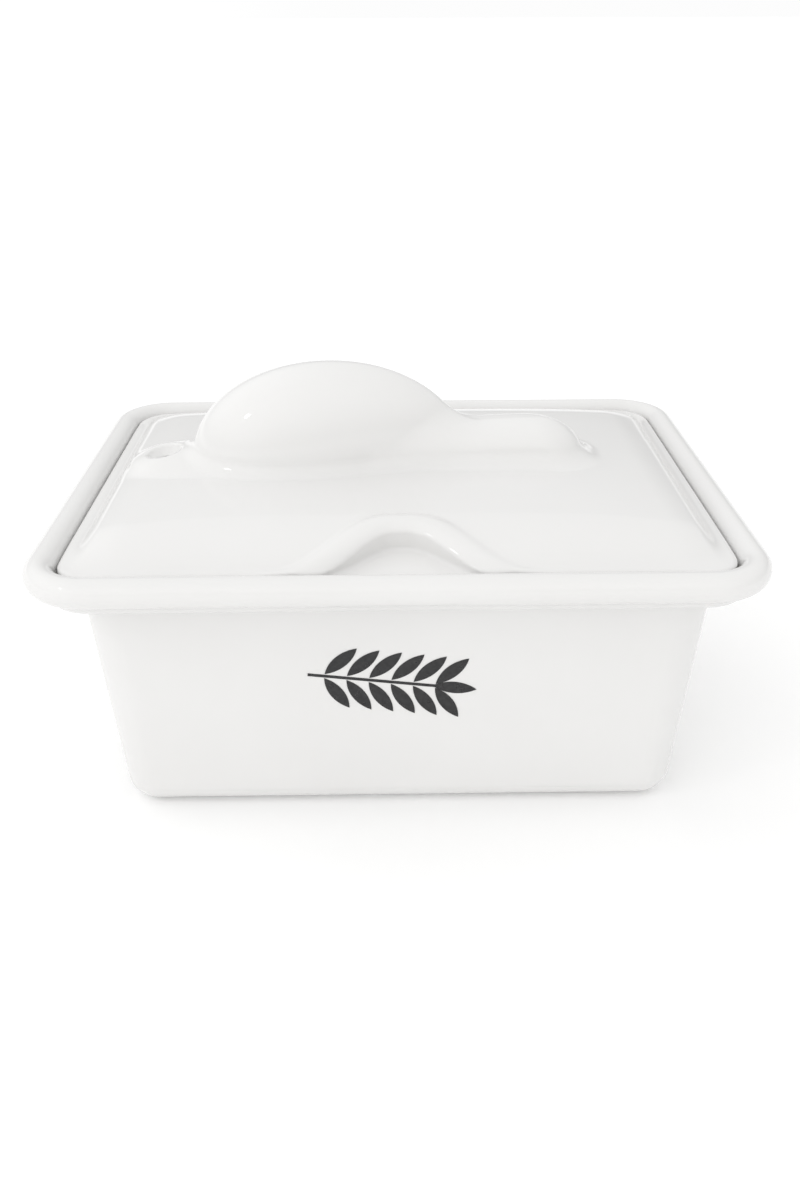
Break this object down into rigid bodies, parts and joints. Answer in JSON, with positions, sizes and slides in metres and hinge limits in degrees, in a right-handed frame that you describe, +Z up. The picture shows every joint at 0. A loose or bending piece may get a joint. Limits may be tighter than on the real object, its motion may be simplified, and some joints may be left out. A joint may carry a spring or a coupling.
{
  "type": "lidded butter crock",
  "caption": "Rectangular glazed porcelain butter crock with a rolled rim, and a recessed lid with a humped grip, a thumb hood and a steam vent.",
  "frame": {"origin": "middle of the foot, on the surface the crock stands on", "axes": "+X along the longer side, to the right seen from the front; +Z up; the thumb hood and the printed sprig face -Y"},
  "size_m": [0.16, 0.12, 0.0958],
  "materials": {
    "porcelain": "clear high-gloss glaze over white porcelain, bare matt biscuit on the foot ring and under the lid's flange",
    "mark_ink": "black fired-on printing, a little less glossy than the glaze round it"
  },
  "bodies": {
    "crock": {"crock": "porcelain", "front_mark": "mark_ink"},
    "lid": {"lid": "porcelain"}
  },
  "joints": [
    {"name": "lid_lift", "type": "slide", "parent": "crock", "child": "lid", "axis": [0, 0, 1], "range_m": [0, 0.08]}
  ]
}
